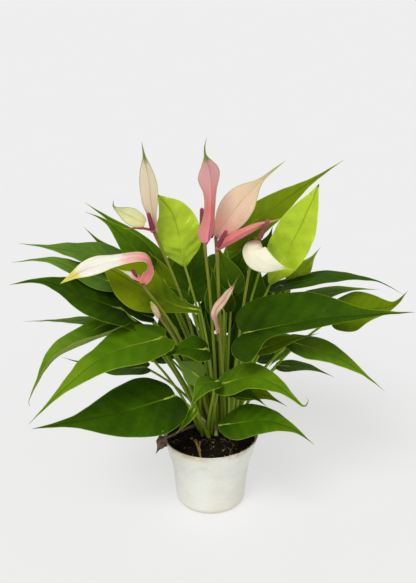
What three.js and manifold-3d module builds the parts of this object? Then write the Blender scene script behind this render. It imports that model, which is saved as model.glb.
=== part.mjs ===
// A potted anthurium in a thin plastic nursery pot.
// Millimetres, +Z up, the pot's underside on Z = 0 with its middle at the origin, the show side facing -Y.
import * as THREE from "three";
import { mergeVertices } from "three/addons/utils/BufferGeometryUtils.js";
import Module from "manifold-3d";

const wasm = await Module();
wasm.setup();

// Pot
const potRimRadius = 52.5;
const potHeight = 85;
const potCollarRadius = 47.2;
const potCollarHeight = 63.5;
const potWaistRadius = 42.4;
const potWaistHeight = 44;
const potFootRadius = 38.8;
const potFootRounding = 6.5;
const potRoundingShares = [0, 0.25, 0.5, 0.75, 1];
const potWall = 1.1;
const potRimBevel = 0.5;
const potFacets = 48;
const drainHoleRadius = 4;
const drainHoleCircle = 23;
const drainHoleCount = 6;
const drainHoleDepth = 8;
const drainHoleFacets = 12;

// Soil
const contactGap = 0.35;
const soilLevel = 77;
const soilMound = 2.5;
const soilEdgeDrop = 1;
const soilFacets = 36;
// [distance from the middle, share of the mound's height]
const soilContour = [[36, 0.3], [22, 0.7], [10, 0.8], [0, 0.8]];

// Where the stalks leave the soil
const footLevel = soilLevel + soilMound + contactGap;
const stalkRise = 0.62;
const stalkLean = 0.36;

// Foliage
const leafThickness = 0.9;
const leafFold = 8;
const leafCurl = 0.06;
const leafStalkRadius = 1.7;
const leafStalkTaper = 0.3;
const leafStalkSides = 5;
const leafStalkSteps = 6;
const stalkOverlap = 3;
const leafColumns = [0.4, 0.75, 1];
const rowSweep = 0.18;
const edgeTaper = 0.4;
const fullThicknessWidth = 0.25;

// Flowers
const spatheThickness = 0.8;
const flowerStalkRadius = 2.2;
const flowerStalkTaper = 0.2;
const flowerStalkSteps = 7;
const flowerStalkSides = 6;
const spadixRadius = 2.6;
const spadixTaper = 0.3;
const spadixEndShare = 0.55;
const spadixSteps = 5;
const spadixSides = 7;

// Half outlines: [share of the length, share of the half width]
const heartOutline = [
  [-0.04, 0.3],
  [-0.045, 0.55],
  [0.01, 0.8],
  [0.11, 0.96],
  [0.23, 1],
  [0.37, 0.86],
  [0.5, 0.62],
  [0.61, 0.38],
  [0.72, 0.17],
  [0.86, 0.06],
  [1, 0],
];
const ovateOutline = [
  [0, 0.15],
  [0.03, 0.4],
  [0.09, 0.7],
  [0.18, 0.93],
  [0.28, 1],
  [0.4, 0.9],
  [0.53, 0.66],
  [0.64, 0.4],
  [0.75, 0.19],
  [0.87, 0.06],
  [1, 0],
];
const rolledOutline = [
  [0, 0.12],
  [0.12, 0.22],
  [0.26, 0.42],
  [0.4, 0.72],
  [0.52, 0.95],
  [0.62, 1],
  [0.73, 0.84],
  [0.84, 0.46],
  [0.92, 0.18],
  [1, 0],
];
const wedgeOutline = [
  [0, 0.1],
  [0.08, 0.36],
  [0.2, 0.76],
  [0.33, 0.97],
  [0.46, 1],
  [0.6, 0.92],
  [0.75, 0.66],
  [0.88, 0.3],
  [1, 0],
];
const hoodOutline = [
  [0, 0.45],
  [0.12, 0.5],
  [0.22, 0.6],
  [0.35, 0.92],
  [0.5, 1],
  [0.66, 0.78],
  [0.76, 0.45],
  [0.84, 0.16],
  [1, 0],
];
const waistedOutline = [
  [0, 0.3],
  [0.05, 0.6],
  [0.11, 0.7],
  [0.18, 0.55],
  [0.255, 0.42],
  [0.4, 0.45],
  [0.5, 0.6],
  [0.57, 0.9],
  [0.63, 1],
  [0.69, 0.84],
  [0.75, 0.5],
  [0.82, 0.14],
  [0.9, 0.06],
  [1, 0],
];
const tailedOutline = [
  [0, 0.25],
  [0.08, 0.5],
  [0.2, 0.85],
  [0.33, 1],
  [0.45, 0.9],
  [0.55, 0.62],
  [0.64, 0.3],
  [0.72, 0.13],
  [0.86, 0.06],
  [1, 0],
];
const openOutline = [
  [0, 0.35],
  [0.08, 0.68],
  [0.2, 0.93],
  [0.33, 1],
  [0.47, 0.86],
  [0.6, 0.58],
  [0.71, 0.3],
  [0.82, 0.11],
  [1, 0],
];
const noddingOutline = [
  [0, 0.4],
  [0.1, 0.55],
  [0.24, 0.6],
  [0.4, 0.62],
  [0.52, 0.75],
  [0.64, 1],
  [0.76, 0.85],
  [0.87, 0.4],
  [1, 0],
];

// Leaf plan: foot is where the stalk leaves the soil, face is where the upper side looks,
// and the midrib's points run from the stalk's end to the leaf's tip.
const leaf = (name, shape, rib) => ({ name: "leaf_" + name, outline: heartOutline, ...shape, rib });

const leaves = [
  // Left side
  leaf("left_upper", { foot: [0, 24], width: 46, face: [0, -0.2, 1] },
    [[-93, 16, 286], [-145, 8, 299], [-196, -4, 312]]),
  leaf("left_second", { foot: [-4, 24], width: 42, face: [0, -0.2, 1] },
    [[-96, -5, 267], [-133, -12, 284], [-164, -20, 300], [-200, -28, 301]]),
  leaf("left_dark", { foot: [-4, 9], width: 62, face: [0, -0.3, 1] },
    [[-89, -28, 248], [-125, -38, 268], [-165, -48, 289], [-198, -56, 289]]),
  leaf("left_slim", { foot: [-8, 11], width: 30, face: [0, 0, 1] },
    [[-80, 6, 213], [-130, 4, 220], [-199, -2, 223]]),
  leaf("left_drooping", { foot: [-11, 8], width: 44, face: [0, 0, 1], fold: 46 },
    [[-96, -22, 222], [-130, -38, 215], [-162, -50, 201], [-185, -60, 164]]),
  leaf("left_bright", { foot: [-8, 4], width: 52, face: [-0.2, -0.5, 1] },
    [[-49, -40, 223], [-100, -68, 220], [-141, -90, 196], [-181, -104, 159]]),
  leaf("left_low", { foot: [-2, -4], width: 76, face: [0, -0.5, 1], fold: 4 },
    [[-37, -44, 157], [-101, -66, 148], [-183, -80, 139]]),
  leaf("left_under", { foot: [-1, 20], width: 34, face: [0, 0, 1] },
    [[-70, 2, 165], [-116, -4, 168], [-160, -10, 185]]),
  leaf("left_high", { foot: [6, 25], width: 36, face: [-0.5, -0.5, 1] },
    [[-48, 46, 240], [-68, 50, 273], [-96, 52, 307], [-134, 54, 336]]),
  leaf("left_olive", { foot: [3, 21], width: 27, face: [-0.4, -0.7, 1] },
    [[-64, 20, 277], [-92, 22, 310], [-110, 22, 327], [-130, 22, 337]]),
  leaf("left_back", { foot: [3, 28], width: 26, face: [-0.3, -0.2, 1] },
    [[-82, 62, 254], [-116, 64, 281], [-138, 66, 304]]),
  leaf("left_wide", { foot: [8, 17], width: 54, face: [0, -0.8, 1], outline: rolledOutline },
    [[-11, -18, 243], [-38, -22, 252], [-72, -30, 276], [-113, -36, 306]]),
  leaf("lime_left", { foot: [7, 21], width: 46, face: [0, -1, 0.4], outline: wedgeOutline },
    [[-27, 4, 284], [-32, 2, 315], [-39, 4, 341], [-54, 8, 360]]),
  leaf("upright_dark", { foot: [10, 24], width: 48, face: [0, -1, 0.4] },
    [[-24, 28, 238], [-18, 34, 283], [-6, 42, 329]]),
  // Right side
  leaf("right_top", { foot: [14, 23], width: 42, face: [-0.4, -0.7, 0.8] },
    [[19, 38, 299], [82, 40, 347], [137, 40, 387]]),
  leaf("lime_right", { foot: [17, 16], width: 47, face: [-0.4, -1, 0.5], outline: wedgeOutline },
    [[62, 0, 266], [82, -2, 310], [98, 0, 347], [108, 6, 372]]),
  leaf("right_upper", { foot: [23, 23], width: 38, face: [0, 0, 1] },
    [[68, 4, 259], [113, -2, 273], [165, -8, 273], [200, -12, 258]]),
  leaf("right_behind", { foot: [23, 27], width: 34, face: [0, -0.1, 1] },
    [[87, 24, 228], [133, 22, 247], [180, 18, 251]]),
  leaf("right_upcurled", { foot: [24, 14], width: 50, face: [0, -0.5, 1] },
    [[130, -8, 232], [159, -14, 243], [185, -22, 250], [199, -30, 271]]),
  leaf("right_front", { foot: [28, 8], width: 84, face: [0, -0.3, 1], fold: 22 },
    [[34, -50, 233], [95, -62, 253], [150, -70, 263], [198, -76, 269]]),
  leaf("right_sloping", { foot: [22, 10], width: 36, face: [0.2, -0.3, 1] },
    [[83, -28, 212], [122, -44, 206], [151, -56, 193], [178, -64, 173]]),
  leaf("right_small", { foot: [21, 19], width: 26, face: [0, 0, 1] },
    [[74, 8, 164], [107, 4, 164], [136, 0, 153]]),
  leaf("right_hooked", { foot: [0, 3], width: 40, face: [0.1, -0.4, 1] },
    [[11, -54, 177], [41, -68, 193], [67, -80, 189], [87, -90, 176]]),
  leaf("right_under", { foot: [20, -1], width: 26, face: [0, -0.1, 1] },
    [[19, -42, 163], [38, -50, 163], [59, -58, 152]]),
  leaf("right_low", { foot: [11, 7, 80.6], width: 46, face: [0, -0.4, 1], outline: ovateOutline },
    [[9, -50, 125], [53, -66, 140], [83, -78, 138], [106, -88, 125]]),
  // Middle
  leaf("middle_front", { outline: ovateOutline, foot: [-4, 1], width: 26, face: [-0.2, -0.4, 1] },
    [[8, -62, 185], [-7, -78, 189], [-23, -92, 167]]),
  leaf("middle_dark", { foot: [6, 7], width: 36, face: [0, -0.4, 1] },
    [[-4, -38, 208], [-26, -46, 213], [-51, -52, 207]]),
  leaf("middle_upright", { foot: [17, 20], width: 34, face: [0, -1, 0.4] },
    [[22, 12, 250], [12, 14, 284], [3, 16, 310]]),
  // Back
  leaf("back_left", { foot: [5, 31], width: 62, face: [-0.2, 0.3, 1] },
    [[-40, 62, 205], [-62, 105, 218], [-82, 152, 200]]),
  leaf("back_right", { foot: [17, 29], width: 58, face: [0.2, 0.3, 1] },
    [[48, 58, 205], [75, 98, 218], [108, 142, 204]]),
  leaf("back_middle", { foot: [13, 27], width: 54, face: [0, 0.2, 1] },
    [[12, 66, 232], [16, 108, 250], [22, 156, 236]]),
  leaf("back_low", { foot: [9, 28], width: 64, face: [0, 0.3, 1] },
    [[-6, 58, 140], [-12, 104, 150], [-16, 158, 128]]),
  leaf("back_low_right", { foot: [19, 24], width: 54, face: [0.2, 0.2, 1] },
    [[50, 52, 150], [80, 84, 160], [118, 124, 138]]),
];

const deadLeaf = {
  outline: heartOutline,
  foot: [-18, 17, 82],
  width: 15,
  face: [-0.8, -0.5, 0.4],
  rib: [[-50, -25, 92], [-56, -28, 85], [-59, -31, 75]],
};

// Flower plan: a stalk, a spathe whose midrib starts at the stalk's end, and a spadix beside it.
const flowers = [
  {
    name: "cream_left",
    foot: [3, 16],
    stalkEnd: [-56, -10, 324],
    spathe: { width: 21, face: [-0.4, -0.9, 0.2], fold: 30, tipFold: 8, outline: hoodOutline },
    rib: [[-56, -10, 327], [-59, -12, 356], [-61, -13, 382], [-67, -12, 421]],
    spadix: [[-58, -15, 330], [-62, -18, 350]],
  },
  {
    name: "nodding_left",
    foot: [3, 11],
    stalkEnd: [-66, -54, 287],
    spathe: { width: 21, face: [0.6, -0.4, 1], fold: 10, outline: noddingOutline },
    rib: [
      [-66, -54, 290],
      [-60, -54, 306],
      [-66, -58, 319],
      [-95, -64, 317],
      [-121, -70, 311],
      [-145, -74, 298],
    ],
    spadix: [[-72, -54, 292], [-76, -58, 306]],
  },
  {
    name: "tall_pink",
    foot: [8, 11],
    stalkEnd: [-6, -34, 321],
    spathe: { width: 27, face: [-0.6, 0.8, 0.1], fold: 30, tipFold: 5, outline: waistedOutline },
    rib: [[-4, -34, 324], [0, -34, 359], [-1, -34, 393], [-6, -34, 417], [-4, -34, 432]],
    spadix: [[-9, -29, 328], [-9, -23, 357]],
  },
  {
    name: "open_pink",
    foot: [13, 14],
    stalkEnd: [6, -32, 312],
    spathe: { width: 22, face: [-0.5, 0, 1], fold: 45, outline: openOutline },
    rib: [[6, -32, 315], [28, -30, 327], [55, -24, 340], [79, -22, 348]],
    spadix: [[6, -39, 322], [15, -44, 341]],
  },
  {
    name: "pale_middle",
    foot: [12, 19],
    stalkEnd: [5, -8, 318],
    spathe: { width: 34, face: [-0.4, -1, 0.3], fold: 6, outline: tailedOutline },
    rib: [[5, -8, 321], [29, -8, 357], [50, -6, 380], [74, -4, 400]],
    spadix: [[0, -14, 322], [0, -20, 341]],
  },
  {
    name: "hanging_white",
    foot: [21, 6],
    stalkEnd: [44, -14, 318],
    spathe: { width: 26, face: [-0.3, -1, 0.4], fold: -6, outline: openOutline },
    rib: [[44, -19, 321], [42, -30, 313], [54, -36, 304], [85, -38, 296]],
    spadix: [[48, -24, 325], [56, -34, 349]],
  },
];

// The second, smaller spathe on the cream flower's stalk
const smallSpathe = {
  width: 18,
  face: [0, -0.8, 0.6],
  rib: [[-65, -21, 340], [-80, -24, 349], [-94, -26, 358], [-95, -27, 367]],
};

// A faded bloom, shrunk to a narrow curl on its stalk
const withered = {
  foot: [17, 11],
  stalkEnd: [8, -26, 225],
  thickness: 1.2,
  spathe: { width: 12, face: [-0.5, -1, 0.2], fold: 40 },
  rib: [[8, -26, 222], [5, -26, 245], [15, -24, 260], [29, -22, 285]],
};

// A bud that is still rolled up
const bud = {
  foot: [-5, 15],
  stalkEnd: [-53, -54, 256],
  line: [[-52, -54, 253], [-59, -56, 271]],
  tipRadius: 0.5,
  swell: 2.6,
  swellPhase: [0.2, 0.95],
  steps: 6,
  sides: 7,
};

// A young flower whose spadix just shows behind the right-hand leaves
const young = { foot: [27, 21], stalkEnd: [83, 24, 264], spadix: [[81, 24, 262], [93, 22, 273]] };

// A new shoot, a few millimetres out of the soil, and a forked root that lies on it
const shoot = { line: [[6, 2, footLevel], [6, 1, 91]], radius: 2.2, taper: 0.8, steps: 4, sides: 6 };
const root = {
  radius: 1.6,
  taper: 0.6,
  steps: 5,
  sides: 6,
  main: [[-17, -13, 82], [-13, -30, 83], [-11, -46, 83]],
  fork: [[-14, -28, 83], [-12, -23, 83], [-12, -18, 84]],
};

const toVector = (point) => new THREE.Vector3(...point);
const smoothPath = (points) => new THREE.CatmullRomCurve3(points, false, "catmullrom", 0.5);

function material(colour, roughness) {
  return new THREE.MeshStandardMaterial({ color: colour, roughness, metalness: 0 });
}

function meshFrom(points, triangles) {
  const geometry = new THREE.BufferGeometry();
  const flat = points.flatMap((point) => point.toArray());
  geometry.setAttribute("position", new THREE.Float32BufferAttribute(flat, 3));
  geometry.setIndex(triangles.flat());
  return geometry;
}

function solidFrom(geometry) {
  const bare = geometry.clone();
  bare.deleteAttribute("normal");
  bare.deleteAttribute("uv");
  const merged = mergeVertices(bare, 1e-3);
  const vertProperties = merged.attributes.position.array;
  const triVerts = new Uint32Array(merged.index.array);
  return new wasm.Manifold(new wasm.Mesh({ numProp: 3, vertProperties, triVerts }));
}

function geometryFrom(solid) {
  const mesh = solid.getMesh();
  const geometry = new THREE.BufferGeometry();
  geometry.setAttribute("position", new THREE.BufferAttribute(mesh.vertProperties, 3));
  geometry.setIndex(new THREE.BufferAttribute(mesh.triVerts, 1));
  return geometry;
}

// A closed tube along a path, with a radius at each step.
function tube(path, steps, sides, radiusAt) {
  const points = [];
  const triangles = [];
  const frames = path.computeFrenetFrames(steps, false);
  for (let step = 0; step <= steps; step += 1) {
    const middle = path.getPointAt(step / steps);
    const radius = radiusAt(step / steps);
    for (let side = 0; side < sides; side += 1) {
      const angle = (side / sides) * 2 * Math.PI;
      const point = middle.clone();
      point.addScaledVector(frames.normals[step], Math.cos(angle) * radius);
      point.addScaledVector(frames.binormals[step], Math.sin(angle) * radius);
      points.push(point);
    }
  }
  for (let step = 0; step < steps; step += 1) {
    for (let side = 0; side < sides; side += 1) {
      const a = step * sides + side;
      const b = step * sides + ((side + 1) % sides);
      triangles.push([a, b, b + sides], [a, b + sides, a + sides]);
    }
  }
  const last = steps * sides;
  for (let side = 1; side < sides - 1; side += 1) {
    triangles.push([0, side + 1, side], [last, last + side, last + side + 1]);
  }
  return meshFrom(points, triangles);
}

// The bent surface of a leaf or a spathe: along runs 0 to 1 on the midrib, across -1 to 1 over the width.
function bentSheet({ rib, width, face, fold = leafFold, tipFold = fold, curl = leafCurl }) {
  const path = smoothPath(rib.map(toVector));
  const length = path.getLength();
  const upperSide = toVector(face).normalize();
  return (along, across) => {
    const onRib = THREE.MathUtils.clamp(along, 0, 1);
    const forward = path.getTangentAt(onRib);
    const right = forward.clone().cross(upperSide).normalize();
    const normal = right.clone().cross(forward);
    const angle = THREE.MathUtils.degToRad(THREE.MathUtils.lerp(fold, tipFold, onRib));
    const reach = (across * width) / 2;
    const lift = Math.abs(reach) * Math.sin(angle) - curl * width * across * across;
    const point = path.getPointAt(onRib);
    point.addScaledVector(forward, (along - onRib) * length);
    point.addScaledVector(right, reach * Math.cos(angle));
    point.addScaledVector(normal, lift);
    return { point, normal };
  };
}

// A closed thin solid: rows sweep from the midrib out to the outline, and the rim is a single sharp edge.
function sheetSolid(plan, outline, thickness) {
  const surface = bentSheet(plan);
  const points = [];
  const triangles = [];
  const sides = [];
  const put = (point) => points.push(point) - 1;
  const halfAt = (across) => (thickness / 2) * Math.min(1, across / fullThicknessWidth);
  const start = put(surface(0, 0).point);
  const tip = put(surface(1, 0).point);
  const lastRow = outline.length - 1;
  const ribIndex = outline.map(([along, across], row) => {
    const onRib = Math.max(0, along - rowSweep * across);
    if (row === lastRow) return [tip, tip];
    if (onRib === 0) return [start, start];
    const { point, normal } = surface(onRib, 0);
    const half = halfAt(across);
    const above = point.clone().addScaledVector(normal, half);
    const below = point.clone().addScaledVector(normal, -half);
    return [put(above), put(below)];
  });
  for (const hand of [1, -1]) {
    const top = [];
    const under = [];
    outline.forEach(([along, across], row) => {
      const onRib = Math.max(0, along - rowSweep * across);
      top.push([ribIndex[row][0]]);
      under.push([ribIndex[row][1]]);
      leafColumns.forEach((column) => {
        if (row === lastRow) {
          top[row].push(tip);
          under[row].push(tip);
          return;
        }
        const { point, normal } = surface(
          THREE.MathUtils.lerp(onRib, along, column),
          hand * across * column,
        );
        const edge = row === 0 || column === 1;
        const half = edge ? 0 : halfAt(across) * (1 - edgeTaper * column);
        const above = put(point.clone().addScaledVector(normal, half));
        const below = edge ? above : put(point.clone().addScaledVector(normal, -half));
        top[row].push(above);
        under[row].push(below);
      });
    });
    sides.push({ turn: hand, grid: top }, { turn: -hand, grid: under });
  }
  const addFacet = (corners, turn) => {
    if (new Set(corners).size === 3) triangles.push(turn > 0 ? corners : [...corners].reverse());
  };
  sides.forEach(({ turn, grid }) => {
    for (let row = 0; row < lastRow; row += 1) {
      for (let column = 0; column < leafColumns.length; column += 1) {
        const [a, b] = [grid[row][column], grid[row][column + 1]];
        const [c, d] = [grid[row + 1][column], grid[row + 1][column + 1]];
        addFacet([a, b, d], turn);
        addFacet([a, d, c], turn);
      }
    }
  });
  return meshFrom(points, triangles);
}

// The way of a stalk from its foot in the soil: it rises, then leans out to its end.
function stalkPath([footX, footY, footZ = footLevel], end, onward = []) {
  const foot = new THREE.Vector3(footX, footY, footZ);
  const bend = foot.clone().lerp(end, stalkLean);
  bend.z = THREE.MathUtils.lerp(foot.z, end.z, stalkRise);
  const curve = new THREE.QuadraticBezierCurve3(foot, bend, end);
  return smoothPath([...[0, 0.33, 0.67, 1].map((share) => curve.getPoint(share)), ...onward]);
}

function makeLeaf(plan) {
  const blade = solidFrom(sheetSolid(plan, plan.outline, leafThickness));
  const end = toVector(plan.rib[0]);
  const forward = smoothPath(plan.rib.map(toVector)).getTangentAt(0);
  const inBlade = end.clone().addScaledVector(forward, stalkOverlap);
  const radiusAt = (share) => leafStalkRadius * (1 - leafStalkTaper * share);
  const stalk = tube(stalkPath(plan.foot, end, [inBlade]), leafStalkSteps, leafStalkSides, radiusAt);
  return geometryFrom(blade.add(solidFrom(stalk)));
}

const potWhite = material(0xe9e6e0, 0.45);
const soilBrown = material(0x2a1d14, 0.95);
const leafGreen = material(0x3d7a1c, 0.4);
const leafLime = material(0x9ac42a, 0.4);
const stalkGreen = material(0x6c8a2c, 0.5);
const spathePink = material(0xe7a6a4, 0.45);
const spadixRed = material(0x7a1f2c, 0.7);
const driedTan = material(0x8a6a4a, 0.85);

const plant = new THREE.Group();

function addPart(name, geometry, look) {
  const mesh = new THREE.Mesh(geometry, look);
  mesh.name = name;
  plant.add(mesh);
}

// The line of the pot's wall, moved inwards: [radius, height] from the middle of the floor up to the collar.
function potLine(inset) {
  const corner = potRoundingShares.map((share) => {
    const angle = (share * Math.PI) / 2;
    const radius = potFootRounding - inset;
    const middle = potFootRadius - potFootRounding;
    return [middle + radius * Math.sin(angle), potFootRounding - radius * Math.cos(angle)];
  });
  const waist = [potWaistRadius - inset, potWaistHeight];
  const collar = [potCollarRadius - inset, potCollarHeight];
  return [[0, inset], ...corner, waist, collar];
}

function turned(profile, facets) {
  const points = profile.map(([radius, height]) => new THREE.Vector2(radius, height));
  return new THREE.LatheGeometry(points, facets).rotateX(Math.PI / 2);
}

function makePot() {
  const rim = [
    [potRimRadius, potHeight - potRimBevel],
    [potRimRadius - potRimBevel, potHeight],
    [potRimRadius - potWall, potHeight],
  ];
  let pot = solidFrom(turned([...potLine(0), ...rim, ...potLine(potWall).reverse()], potFacets));
  for (let hole = 0; hole < drainHoleCount; hole += 1) {
    const angle = (hole / drainHoleCount) * 2 * Math.PI;
    const x = Math.cos(angle) * drainHoleCircle;
    const y = Math.sin(angle) * drainHoleCircle;
    const drill = new THREE.CylinderGeometry(
      drainHoleRadius,
      drainHoleRadius,
      drainHoleDepth,
      drainHoleFacets,
    );
    pot = pot.subtract(solidFrom(drill.rotateX(Math.PI / 2).translate(x, y, 0)));
  }
  return geometryFrom(pot);
}

function makeSoil() {
  const inset = potWall + contactGap;
  const edge = soilLevel - soilEdgeDrop;
  const upTheCollar = (edge - potCollarHeight) / (potHeight - potCollarHeight);
  const edgeRadius = THREE.MathUtils.lerp(potCollarRadius, potRimRadius, upTheCollar) - inset;
  const surface = soilContour.map(([radius, share]) => [radius, soilLevel + share * soilMound]);
  return turned([...potLine(inset), [edgeRadius, edge], ...surface], soilFacets);
}

function spadixTube([from, to], radius) {
  const line = new THREE.LineCurve3(toVector(from), toVector(to));
  const isEnd = (share) => share === 0 || share === 1;
  const radiusAt = (share) => radius * (isEnd(share) ? spadixEndShare : 1) * (1 - spadixTaper * share);
  return tube(line, spadixSteps, spadixSides, radiusAt);
}

function flowerStalk({ foot, stalkEnd }) {
  const radiusAt = (share) => flowerStalkRadius * (1 - flowerStalkTaper * share);
  return tube(stalkPath(foot, toVector(stalkEnd)), flowerStalkSteps, flowerStalkSides, radiusAt);
}

function addFlower(plan) {
  const spathe = { ...plan.spathe, rib: plan.rib };
  addPart("stalk_" + plan.name, flowerStalk(plan), stalkGreen);
  addPart("spathe_" + plan.name, sheetSolid(spathe, spathe.outline, spatheThickness), spathePink);
  addPart("spadix_" + plan.name, spadixTube(plan.spadix, spadixRadius), spadixRed);
}

// A flower that is one body with its stalk.
const withStalk = (plan, bloom) => geometryFrom(solidFrom(bloom).add(solidFrom(flowerStalk(plan))));

function makeWitheredFlower() {
  const spathe = { ...withered.spathe, rib: withered.rib };
  return withStalk(withered, sheetSolid(spathe, hoodOutline, withered.thickness));
}

function makeBud() {
  const phaseAt = (share) => Math.PI * THREE.MathUtils.lerp(...bud.swellPhase, share);
  const radiusAt = (share) => bud.tipRadius + bud.swell * Math.sin(phaseAt(share));
  const line = new THREE.LineCurve3(...bud.line.map(toVector));
  return withStalk(bud, tube(line, bud.steps, bud.sides, radiusAt));
}

function makeShoot() {
  const radiusAt = (share) => shoot.radius * (1 - shoot.taper * share);
  const line = new THREE.LineCurve3(...shoot.line.map(toVector));
  return tube(line, shoot.steps, shoot.sides, radiusAt);
}

function makeSurfaceRoot() {
  const radiusAt = (share) => root.radius - root.taper * share;
  const branch = (points) =>
    solidFrom(tube(smoothPath(points.map(toVector)), root.steps, root.sides, radiusAt));
  return geometryFrom(branch(root.main).add(branch(root.fork)));
}

addPart("pot", makePot(), potWhite);
addPart("soil", makeSoil(), soilBrown);
addPart("surface_root", makeSurfaceRoot(), driedTan);
addPart("young_shoot", makeShoot(), stalkGreen);
addPart("dead_leaf", makeLeaf(deadLeaf), driedTan);
leaves.forEach((plan) => {
  const isLime = plan.outline === wedgeOutline;
  addPart(plan.name, makeLeaf(plan), isLime ? leafLime : leafGreen);
});
flowers.forEach(addFlower);
addPart("spathe_cream_small", sheetSolid(smallSpathe, openOutline, spatheThickness), spathePink);
addPart("flower_withered", makeWitheredFlower(), driedTan);
addPart("flower_bud", makeBud(), spathePink);
addPart("flower_young", withStalk(young, spadixTube(young.spadix, spadixRadius)), stalkGreen);

export default plant;
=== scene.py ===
import math
import random

import bpy
import numpy as np
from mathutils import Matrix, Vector, noise


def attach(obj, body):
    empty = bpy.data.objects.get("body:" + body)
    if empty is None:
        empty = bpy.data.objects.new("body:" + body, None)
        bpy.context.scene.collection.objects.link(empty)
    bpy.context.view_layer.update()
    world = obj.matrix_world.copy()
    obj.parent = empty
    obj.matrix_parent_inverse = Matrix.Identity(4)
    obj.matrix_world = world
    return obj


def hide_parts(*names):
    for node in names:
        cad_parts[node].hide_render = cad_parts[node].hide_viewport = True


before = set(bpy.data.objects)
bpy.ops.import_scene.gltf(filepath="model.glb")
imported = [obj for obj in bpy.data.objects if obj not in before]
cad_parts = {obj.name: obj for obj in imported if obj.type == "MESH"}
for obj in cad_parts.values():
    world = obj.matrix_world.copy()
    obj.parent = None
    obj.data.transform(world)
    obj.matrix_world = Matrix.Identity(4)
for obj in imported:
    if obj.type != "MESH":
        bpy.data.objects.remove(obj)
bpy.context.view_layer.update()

MM = 0.001
draw = random.Random(20)
ANY_TURN = (0, 6.28)

# Pot, soil and stalks, as in the CAD model
POT_FOOT, POT_ROUNDING = 38.8, 6.5
POT_WAIST, POT_COLLAR, POT_RIM = (42.4, 44), (47.2, 63.5), (52.5, 85)
POT_WALL = 1.1
SOIL_LEVEL, SOIL_MOUND, GAP = 77, 2.5, 0.35
FOOT_LEVEL = SOIL_LEVEL + SOIL_MOUND + GAP
STALK_RISE, STALK_LEAN = 0.62, 0.36

# Thicknesses, and how blades bend and wrinkle
LEAF_THICKNESS, SPATHE_THICKNESS, SHEATH_THICKNESS = 0.55, 0.6, 0.4
RIM_THINNING, END_PINCH = 0.75, 5
CURL, LEFT_PHASE = 0.06, 1.9  # edges curl down; the left half's waves are out of step
DROOP_PLACE, DROOP_SPREAD = 0.03, 0.13  # where a lobe hangs, as shares of the midrib
ROW_SWEEP, VEIN_SWEEP = 0.18, 0.7  # rows and side veins run towards the tip on their way out
RIB_FADE, RIM_FADE = 6, 4  # the quilting is flat at the midrib and at the rim
GROOVE_WIDTH, RIB_WIDTH, RIB_END = 1.1, 0.9, 1.02
CRUMPLE_PITCH, WAVE_SHARE = 0.09, 0.028
SMALL_LEAF = 25  # leaves under this width have fewer veins and thinner stalks
COLUMNS = np.array([0, 0.035, 0.12, 0.24, 0.37, 0.5, 0.63, 0.75, 0.86, 0.95, 1.0])
PATH_STEPS, TANGENT_STEP = 60, 4e-3
OFF_AXIS = (0.3, 0.9, 0.2)  # a direction that no tube starts along
FAR_FROM_RIM = 5  # the rim distance that a blade's first point gives to the materials
UNDERSIDE = 0.8  # a mark over this means the underside
STALK_KNEE, SPADIX_RADIUS = 0.35, 2.5
PALE_LOOKS = ("cream", "pale", "white")

# Pot and soil detail
POT_SIDES = 144
POT_RING = 27  # the height of a faint groove round the pot
SOIL_SIDES, SOIL_RADIUS = 96, 49.2
CRUMB_ROWS, CRUMB_SIDES, FIBRE_REACH = 4, 6, 47
SHEATH_FOOT = 78

# Floor, light and camera
FLOOR = 9000
SKY, SEEN_SKY = 0.38, 0.85
SENSOR, VIEW_HEIGHT = 36, 0.583  # the view is 0.583 m high at 1 m
EYE, EYE_TILT = (-0.003, -0.947, 0.688), 65.5

# Half outlines from stalk to tip: place along the midrib, and share of the half width
HEART = [(0, 0), (-0.03, 0.13), (-0.048, 0.32), (-0.045, 0.55), (0.01, 0.8), (0.11, 0.96), (0.23, 1),
         (0.37, 0.86), (0.5, 0.62), (0.61, 0.38), (0.72, 0.18), (0.86, 0.065), (1, 0)]
WEDGE = [(0, 0), (0, 0.1), (0.08, 0.36), (0.2, 0.76), (0.33, 0.97), (0.46, 1), (0.6, 0.92),
         (0.75, 0.66), (0.88, 0.3), (1, 0)]
HOOD = [(0, 0), (0, 0.45), (0.12, 0.5), (0.22, 0.6), (0.35, 0.92), (0.5, 1), (0.66, 0.78),
        (0.76, 0.45), (0.84, 0.16), (1, 0)]
WAISTED = [(0, 0), (0, 0.34), (0.05, 0.72), (0.11, 0.86), (0.18, 0.74), (0.27, 0.58), (0.4, 0.54),
           (0.5, 0.66), (0.57, 0.9), (0.63, 1), (0.69, 0.84), (0.75, 0.5), (0.82, 0.14), (0.9, 0.06), (1, 0)]
OVATE = [(0, 0), (0, 0.15), (0.03, 0.4), (0.09, 0.7), (0.18, 0.93), (0.28, 1), (0.4, 0.9), (0.53, 0.66),
         (0.64, 0.4), (0.75, 0.19), (0.87, 0.06), (1, 0)]
ROLLED = [(0, 0), (0, 0.12), (0.12, 0.22), (0.26, 0.42), (0.4, 0.72), (0.52, 0.95), (0.62, 1), (0.73, 0.84),
          (0.84, 0.46), (0.92, 0.18), (1, 0)]
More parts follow.
